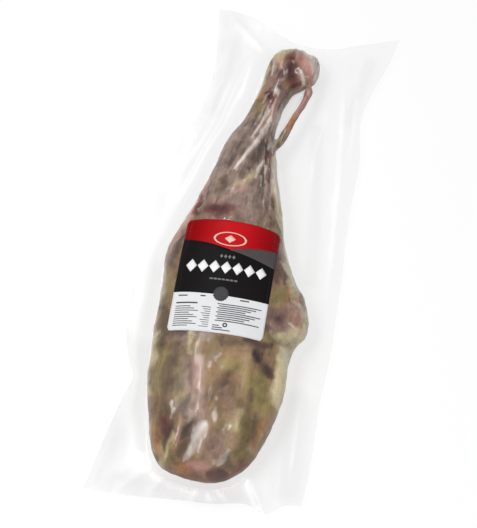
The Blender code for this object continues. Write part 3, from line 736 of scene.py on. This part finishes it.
# Slow waves of the margin, then small ones drawn out along the pouch.
wave = np.sin(plan[:, 1] / 23 + plan[:, 0] / 31) + 0.6 * np.sin(plan[:, 1] / 11 - plan[:, 0] / 17 + 1.3)
middle = rim_height + (wide - rim_height) * (1 - share) ** MARGIN_CURVE + 0.6 * wave * step(0, 0.6, share)
spread = np.column_stack((plan, np.zeros(len(plan))))
middle += 0.35 * lumps(spread * np.array((1.0, 0.35, 1.0)), 12, 5.0) * step(0.02, 0.3, share)
for path, width, height in FOLDS:
    far, where = distance(plan, path)
    ends = step(0.0, 0.25, where) * step(1.0, 0.75, where)
    middle += height * np.exp(-np.abs(far / width) ** 1.5) * (0.2 + 0.8 * ends) * step(0.0, 0.08, share)
leg_tree = BVHTree.FromPolygons([Vector(p) for p in skin], [p.vertices[:] for p in leg_mesh.polygons])
bridging = np.zeros((down + 1, wide_cells + 1))
bridging[row, column] = painted(plan, STRETCHED, 1.5, 0.8)
sheets = []
for side, start in RAY_STARTS:
    hits = [leg_tree.ray_cast(Vector((x, y, start)), Vector((0, 0, -side)))[0] for x, y in plan]
    meat_at = np.array([side * h.z + FILM_GAP if h else NO_MEAT for h in hits])
    pressed = side * middle + FILM_THICK / 2
    stop = np.empty((down + 1, wide_cells + 1))
    stop[row, column] = np.maximum(meat_at, pressed)
    taut = drawn_tight(stop, stop, TAUT_ROUNDS)
    if side == 1:
        taut += (drawn_tight(taut, stop, BRIDGING_ROUNDS) - taut) * bridging
    taut = side * taut[row, column]
    taut[to_rim < 0.05] = middle[to_rim < 0.05]
    sheets.append(taut)
sheets[1] = np.maximum(sheets[1], LEAST_HEIGHT)
put_points(film, np.column_stack((plan, sheets[0])))
under = bmesh.new()
bmesh.ops.create_grid(under, x_segments=wide_cells, y_segments=down, size=0.5)
put_points(under, np.column_stack((plan, sheets[1])))
bmesh.ops.reverse_faces(under, faces=under.faces)
under_mesh = bpy.data.meshes.new("under")
under.to_mesh(under_mesh)
under.free()
film.from_mesh(under_mesh)
bpy.data.meshes.remove(under_mesh)
bmesh.ops.remove_doubles(film, verts=film.verts, dist=0.005)
bmesh.ops.recalc_face_normals(film, faces=film.faces)
film_tree = BVHTree.FromBMesh(film)
put_points(film, real(points_of(film)))
film_mesh = bpy.data.meshes.new("clear_pouch")
film.to_mesh(film_mesh)
film.free()
film_mesh.shade_smooth()
flat = drawn([v.co[:] for v in film_mesh.vertices])[:, :2]
milky = painted(flat, MILKY, 1.6, 0.3)
plan_tree = KDTree(len(plan))
for i, (x, y) in enumerate(plan):
    plan_tree.insert((x, y, 0.0), i)
plan_tree.balance()
pressed_flat = step(0.12, 0.45, share) * (meat_at == NO_MEAT)
veiled = step(VEIL_WIDTH, 0.0, distance(flat, VEILED)[0])
slack = pressed_flat[[plan_tree.find((x, y, 0.0))[1] for x, y in flat]]
slack = np.maximum(slack, painted(flat, DULLED, 1.5, 0.7))
mark_points(film_mesh, "milky", milky)
mark_points(film_mesh, "slack", slack)
mark_points(film_mesh, "veiled", veiled)
# The skin lies under the film everywhere, also where the film spans a bulge of it.
spots = drawn([v.co[:] for v in leg_mesh.vertices])
for i, spot in enumerate(spots):
    near, outward = film_tree.find_nearest(Vector(spot))[:2]
    rise = float(np.dot(spot - np.array(near), np.array(outward))) + UNDER_FILM
    if rise > 0:
        spots[i] = spot - np.array(outward) * rise
leg_mesh.vertices.foreach_set("co", real(spots).astype(np.float32).ravel())
leg_mesh.update()
film_piece = new_piece("clear_pouch", film_mesh)

# Clear vacuum film, blown from the melt: see-through and glossy with soft crinkles 8 by 19 mm,
# duller where it is slack, a little grey where it is milky, and white in pleats 11 by 77 mm where
# it is bunched.
clear, tree = new_material("clear_vacuum_film")
place = add(tree, "ShaderNodeTexCoord").outputs["Object"]
crinkle_space = add(tree, "ShaderNodeMapping", {"Vector": place, "Rotation": (0, 0, 0.12),
                                                "Scale": (1.0, 0.45, 1.0)})
crinkle = add(tree, "ShaderNodeTexNoise", {"Vector": crinkle_space.outputs[0], "Scale": 120.0,
                                           "Detail": 4.0, "Roughness": 0.6, "Distortion": 0.6})
bump = add(tree, "ShaderNodeBump", {"Height": crinkle.outputs["Fac"], "Strength": 0.24, "Distance": 0.0012})
milkiness = add(tree, "ShaderNodeAttribute", attribute_name="milky").outputs["Fac"]
tint = add(tree, "ShaderNodeMix", {SHARE: milkiness, FIRST: srgb("#fcfcfc"), SECOND: srgb("#f4f4f4")},
           data_type="RGBA").outputs[MIXED]
see_through = add(tree, "ShaderNodeBsdfTransparent", {"Color": tint})
slackness = add(tree, "ShaderNodeAttribute", attribute_name="slack").outputs["Fac"]
rough = add(tree, "ShaderNodeMath", {0: slackness, 1: 0.17, 2: 0.13}, operation="MULTIPLY_ADD")
glossy = add(tree, "ShaderNodeBsdfGlossy", {"Color": srgb("#ffffff"), "Roughness": rough.outputs[0],
                                            "Normal": bump.outputs[0]})
haze = add(tree, "ShaderNodeBsdfDiffuse", {"Color": srgb("#f4f0f1")})
edge_on = add(tree, "ShaderNodeLayerWeight", {"Blend": 0.5, "Normal": bump.outputs[0]}).outputs["Facing"]
grazing = add(tree, "ShaderNodeMath", {0: edge_on, 1: 4.5}, operation="POWER")
straight_on = add(tree, "ShaderNodeMath", {0: slackness, 1: -0.014, 2: 0.028}, operation="MULTIPLY_ADD")
mirrored = add(tree, "ShaderNodeMath", {0: grazing.outputs[0], 1: 0.75, 2: straight_on.outputs[0]},
               operation="MULTIPLY_ADD")
bunched = add(tree, "ShaderNodeAttribute", attribute_name="veiled").outputs["Fac"]
pleat_space = add(tree, "ShaderNodeMapping", {"Vector": place, "Rotation": (0, 0, -0.7),
                                              "Scale": (90, 13, 90)})
pleats = add(tree, "ShaderNodeTexNoise", {"Vector": pleat_space.outputs[0], "Scale": 1.0, "Detail": 1.0})
pleats = add(tree, "ShaderNodeMapRange", {"Value": pleats.outputs["Fac"], "From Min": 0.42,
                                          "From Max": 0.66, "To Min": 0.16, "To Max": 0.42})
bunched = add(tree, "ShaderNodeMath", {0: bunched, 1: pleats.outputs[0]}, operation="MULTIPLY")
clouding = add(tree, "ShaderNodeMath", {0: bunched.outputs[0], 1: 0.012}, operation="ADD")
clouded = add(tree, "ShaderNodeMixShader", {0: clouding.outputs[0], 1: see_through.outputs[0],
                                            2: haze.outputs[0]})
surface = add(tree, "ShaderNodeMixShader", {0: mirrored.outputs[0], 1: clouded.outputs[0],
                                            2: glossy.outputs[0]})
add(tree, "ShaderNodeOutputMaterial", {"Surface": surface.outputs[0]})
film_mesh.materials.append(clear)
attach(film_piece, "root")
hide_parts("pouch")

# The label. A sheet of coated paper with rounded corners, printed red, black and white and stuck
# on the pouch over the thigh, so it bends with the meat. Its print is plain fields and bars.
LABEL_CENTRE = (-20.1, -83.7)
LABEL_SIZE = (116.0, 151.5)
LABEL_TURN = 3.0
LABEL_CORNER = 4.5
# The paper's height over the film, each layer of print's over the one below, and their thickness
LABEL_RISE = 0.75
PRINT_STEP = 0.09
PAPER_THICK = 0.5
PRINT_THICK = 0.18
# The low point of the red band's edge, how much higher its two ends are, how far off they are, and
# how straight it runs to them: 1 is straight
RED_POINT = (2, 33.5)
RED_LEFT_RISE = 12.0
RED_RIGHT_RISE = 13.3
RED_HALF_SPAN = 57
RED_STRAIGHTNESS = 0.8
# The black panel's lower edge at the middle and its slope, and the wedge's drop at the right
PANEL_LOW = -28.2
PANEL_SLOPE = 0.03
WEDGE_DROP = 27.0
# The film's height is taken as the mean of five places this far apart
PROBE = 2.5
half_w, half_h = LABEL_SIZE[0] / 2, LABEL_SIZE[1] / 2


def on_label(x, y, rise):
    """Where a point of the flat label lies once it is stuck on the pouch."""
    c, s = math.cos(math.radians(LABEL_TURN)), math.sin(math.radians(LABEL_TURN))
    px, py = LABEL_CENTRE[0] + x * c - y * s, LABEL_CENTRE[1] + x * s + y * c
    near = [film_tree.ray_cast(Vector((px + dx, py + dy, 200)), Vector((0, 0, -1)))[0].z
            for dx, dy in ((0, 0), (PROBE, 0), (-PROBE, 0), (0, PROBE), (0, -PROBE))]
    return px, py, sum(near) / 5 + rise


def field(x0, x1, low, high):
    """A shape of print between two ends and two edges, either of which may be a curve."""
    low_at = low if callable(low) else lambda x: low
    high_at = high if callable(high) else lambda x: high
    tall = high_at((x0 + x1) / 2) - low_at((x0 + x1) / 2)

    def place(u, v):
        x = x0 + u * (x1 - x0)
        return x, low_at(x) + v * (high_at(x) - low_at(x))
    return place, max(2, math.ceil((x1 - x0) / 3)), max(1, math.ceil(tall / 3))


def ring(x, y, rx, ry, inner, scallops=0, depth=0.0):
    """A disc or a ring of print, scalloped or plain; inner is its hole as a share of it."""
    def place(u, v):
        turn = 2 * math.pi * u
        out = (inner + (1 - inner) * v) * (1 + depth * math.cos(scallops * turn) * v)
        return x + rx * out * math.cos(turn), y + ry * out * math.sin(turn)
    return place, max(40, scallops * 8), 1 if inner > 0.5 else 3


def lozenge(x, y, rx, ry):
    """A diamond of print about a middle."""
    def place(u, v):
        return x + rx * (u + v - 1), y + ry * (v - u)
    return place, 3, 3


def printed(name, shapes, level, material, thick=PRINT_THICK):
    """Shapes of one printed colour, bent with the label."""
    sheet = bmesh.new()
    for place, nx, ny in shapes:
        grid = bmesh.ops.create_grid(sheet, x_segments=nx, y_segments=ny, size=0.5)["verts"]
        for vert in grid:
            x, y = place(vert.co.x + 0.5, vert.co.y + 0.5)
            vert.co = Vector(real(on_label(x, y, LABEL_RISE + PRINT_STEP * level)))
    bmesh.ops.remove_doubles(sheet, verts=sheet.verts, dist=1e-6)
    sheet.normal_update()
    bmesh.ops.reverse_faces(sheet, faces=[face for face in sheet.faces if face.normal.z < 0])
    mesh = bpy.data.meshes.new(name)
    sheet.to_mesh(mesh)
    sheet.free()
    mesh.shade_smooth()
    piece = new_piece(name, mesh)
    wall = piece.modifiers.new("thickness", "SOLIDIFY")
    wall.thickness = thick * REAL_SIZE * 0.001
    wall.offset = -1.0
    mesh.materials.append(material)
    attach(piece, "root")
    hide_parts("label")


def coated_paper(name, code, mottled_code, roughness, far_code=None):
    """Coated paper or ink on it: a soft sheen and an even colour, mottled in 4 mm clouds, with its
    own darker colour at the sides if it has one. The fibres are drawn 0.7 mm wide so that they show."""
    material, tree = new_material(name)
    place = add(tree, "ShaderNodeTexCoord").outputs["Object"]
    mottle = add(tree, "ShaderNodeTexNoise", {"Vector": place, "Scale": 260.0, "Detail": 4.0})
    tint = add(tree, "ShaderNodeMix", {SHARE: mottle.outputs["Fac"], FIRST: srgb(code),
                                       SECOND: srgb(mottled_code)}, data_type="RGBA").outputs[MIXED]
    if far_code:
        sideways = add(tree, "ShaderNodeSeparateXYZ", {0: place}).outputs[0]
        middle = (LABEL_CENTRE[0] + CENTRE[0]) * REAL_SIZE * 0.001
        off = add(tree, "ShaderNodeMath", {0: sideways, 1: middle}, operation="SUBTRACT")
        off = add(tree, "ShaderNodeMath", {0: off.outputs[0]}, operation="ABSOLUTE")
        off = add(tree, "ShaderNodeMapRange", {"Value": off.outputs[0], "From Min": 0.008,
                                               "From Max": 0.046})
        tint = add(tree, "ShaderNodeMix", {SHARE: off.outputs[0], FIRST: tint, SECOND: srgb(far_code)},
                   data_type="RGBA").outputs[MIXED]
    fibre = add(tree, "ShaderNodeTexNoise", {"Vector": place, "Scale": 1400.0, "Detail": 2.0})
    bump = add(tree, "ShaderNodeBump", {"Height": fibre.outputs["Fac"], "Strength": 0.08,
                                        "Distance": 0.0002})
    sheen = add(tree, "ShaderNodeMapRange", {"Value": mottle.outputs["Fac"], "To Min": roughness - 0.05,
                                             "To Max": roughness + 0.08})
    surface = add(tree, "ShaderNodeBsdfPrincipled", {
        "Base Color": tint, "Roughness": sheen.outputs["Result"], "Normal": bump.outputs[0], "IOR": 1.45,
        "Specular IOR Level": 0.05})
    add(tree, "ShaderNodeOutputMaterial", {"Surface": surface.outputs[0]})
    return material


def corner_cut(x):
    """How far the rounded corners take in the label's ends at x."""
    past = max(0.0, abs(x) - (half_w - LABEL_CORNER))
    return LABEL_CORNER - math.sqrt(max(0.0, LABEL_CORNER**2 - past**2))


def label_top(x):
    """The label's upper end."""
    return half_h - corner_cut(x)


def label_bottom(x):
    """The label's lower end."""
    return -half_h + corner_cut(x)


def red_edge(x):
    """The lower edge of the red band: a shallow point under its middle, higher at the right."""
    rise = RED_LEFT_RISE if x < RED_POINT[0] else RED_RIGHT_RISE
    return RED_POINT[1] + rise * min(1.0, abs(x - RED_POINT[0]) / RED_HALF_SPAN) ** RED_STRAIGHTNESS


def panel_edge(x):
    """The lower edge of the black panel, a little lower at the right."""
    return PANEL_LOW - PANEL_SLOPE * x


def charcoal_edge(x):
    """The lower edge of the grey wedge under the red band, lowest at the right."""
    return red_edge(x) - WEDGE_DROP * max(0.0, x / half_w)


straight = half_w - LABEL_CORNER
spans = ((-half_w, -straight), (-straight, straight), (straight, half_w))
white_paper = coated_paper("coated_label_paper", "#cdcecf", "#d7d7d9", 0.42)
red_ink = coated_paper("red_ink_on_coated_paper", "#b01119", "#bc191f", 0.4, "#820308")
black_ink = coated_paper("black_ink_on_coated_paper", "#121011", "#191718", 0.4)
grey_ink = coated_paper("charcoal_ink_on_coated_paper", "#464243", "#504c4d", 0.4)
pale_ink = coated_paper("white_ink_on_coated_paper", "#dededd", "#e8e8e8", 0.42)
cream_ink = coated_paper("cream_ink_on_coated_paper", "#d9b8a4", "#e2c6b4", 0.42)
dim_ink = coated_paper("grey_ink_on_coated_paper", "#6e6e6e", "#7c7c7c", 0.42)
text_ink = coated_paper("dark_ink_on_coated_paper", "#3e3e40", "#4a4a4c", 0.42)
badge_ink = coated_paper("slate_ink_on_coated_paper", "#3c3c3c", "#464646", 0.42)
whole_label = [field(a, b, label_bottom, label_top) for a, b in spans]
printed("label_paper", whole_label, 0, white_paper, PAPER_THICK)
printed("label_red_band", [field(a, b, red_edge, label_top) for a, b in spans], 1, red_ink)
printed("label_black_panel", [field(a, b, panel_edge, red_edge) for a, b in spans], 1, black_ink)
printed("label_charcoal_wedge", [field(0.0, half_w, charcoal_edge, red_edge)], 2, grey_ink)
printed("label_ornament", [lozenge(14.2 * k - 42.0, 8.4, 6.6, 8.6) for k in range(7)], 2, pale_ink)
printed("label_crest", [ring(-1, 49, 20.5, 10, 0.88), lozenge(-1, 49, 7, 5.5)], 2, cream_ink)
printed("label_small_marks", [lozenge(5 * k - 7.5, 23.6, 2.0, 2.8) for k in range(4)]
        + [field(5 * k - 17, 5 * k - 13.0, -9.2, -7.0) for k in range(7)], 2, dim_ink)
# Thin printed strokes in three columns: left end, right end, lower edge, upper edge
lines = [(-51, -40, -32.0, -30.4), (-24, -18, -32.0, -30.4), (24, 35, -32.6, -31.0)]
lines += [(-52, -26, -41.6, -39.8)]
for k in range(10):
    y = -44.6 - 2.7 * k
    lines += [(-52, -34 + 5 * (k * 7 % 3), y - 1.0, y), (-20 + 2 * (k % 3), -9, y - 0.8, y)]
for k in range(9):
    lines.append((-2 + 2 * (k % 2), 51 - 6 * (k * 5 % 4), -40.0 - 2.6 * k, -38.8 - 2.6 * k))
lines += [(-4, 8, -69.6, -68.4), (-4, 18, -72.2, -71.0), (-4, 4, -67.0, -65.8)]
printed("label_text_lines", [field(*line) for line in lines], 1, text_ink)
printed("label_badge", [ring(0.0, -26.8, 9.2, 9.2, 0.0, 18, 0.05)], 3, badge_ink)
printed("label_small_ring", [ring(11.0, -65.0, 2.8, 2.8, 0.5)], 2, black_ink)

# The stand: a plain pale floor, soft studio light from above, and the camera at the photo's angle.
FLOOR_HALF_SIZE = 6.0
floor_mesh = bpy.data.meshes.new("floor")
ground = bmesh.new()
bmesh.ops.create_grid(ground, x_segments=1, y_segments=1, size=FLOOR_HALF_SIZE)
ground.to_mesh(floor_mesh)
ground.free()
floor = new_piece("floor", floor_mesh)
pale, tree = new_material("pale_studio_floor")
surface = add(tree, "ShaderNodeBsdfPrincipled", {
    "Base Color": (0.2, 0.2, 0.2, 1), "Roughness": 0.9, "Specular IOR Level": 0.0,
    "Emission Color": (1, 1, 1, 1), "Emission Strength": 0.775})
add(tree, "ShaderNodeOutputMaterial", {"Surface": surface.outputs[0]})
floor_mesh.materials.append(pale)


def softbox(name, place, aim, size, power):
    """A flat soft light of this size in metres and power in watts, turned to what it lights."""
    light = bpy.data.lights.new(name, "AREA")
    light.shape = "RECTANGLE"
    light.size, light.size_y = size
    light.energy = power
    box = bpy.data.objects.new(name, light)
    box.location = place
    box.rotation_euler = (Vector(aim) - Vector(place)).to_track_quat("-Z", "Y").to_euler()
    bpy.context.scene.collection.objects.link(box)


softbox("wide_softbox", (-0.6, 0.1, 1.41), (-0.02, 0.05, 0), (2.2, 0.4), 10)
softbox("strip_softbox", (-0.56, 0.1, 1.39), (-0.02, 0.05, 0), (2.2, 0.1), 7)
softbox("window_softbox", (-0.34, -0.29, 1.33), (-0.01, -0.25, 0.05), (0.3, 0.25), 3.4)
softbox("front_softbox", (0.7, -1.2, 1.2), (0, -0.1, 0), (0.8, 0.6), 7)
world = bpy.data.worlds.new("studio")
world.use_nodes = True
world.node_tree.nodes["Background"].inputs["Color"].default_value = (1, 1, 1, 1)
world.node_tree.nodes["Background"].inputs["Strength"].default_value = 0.36
bpy.context.scene.world = world
bpy.context.scene.view_settings.view_transform = "Standard"

# The camera's angles, its distance in metres, the point it looks at and its focal length in mm
ELEVATION, AZIMUTH, AWAY = math.radians(64), math.radians(12.2), 1.62
LOOKED_AT = Vector((-0.00805, -0.0308, 0.027))
FOCAL_LENGTH = 98.45
back = Vector((math.sin(AZIMUTH) * math.cos(ELEVATION), -math.cos(AZIMUTH) * math.cos(ELEVATION),
               math.sin(ELEVATION)))
lens = bpy.data.cameras.new("photo_camera")
lens.lens = FOCAL_LENGTH
camera = bpy.data.objects.new("photo_camera", lens)
camera.location = LOOKED_AT + back * AWAY
camera.rotation_euler = back.to_track_quat("Z", "Y").to_euler()
bpy.context.scene.collection.objects.link(camera)
bpy.context.scene.camera = camera
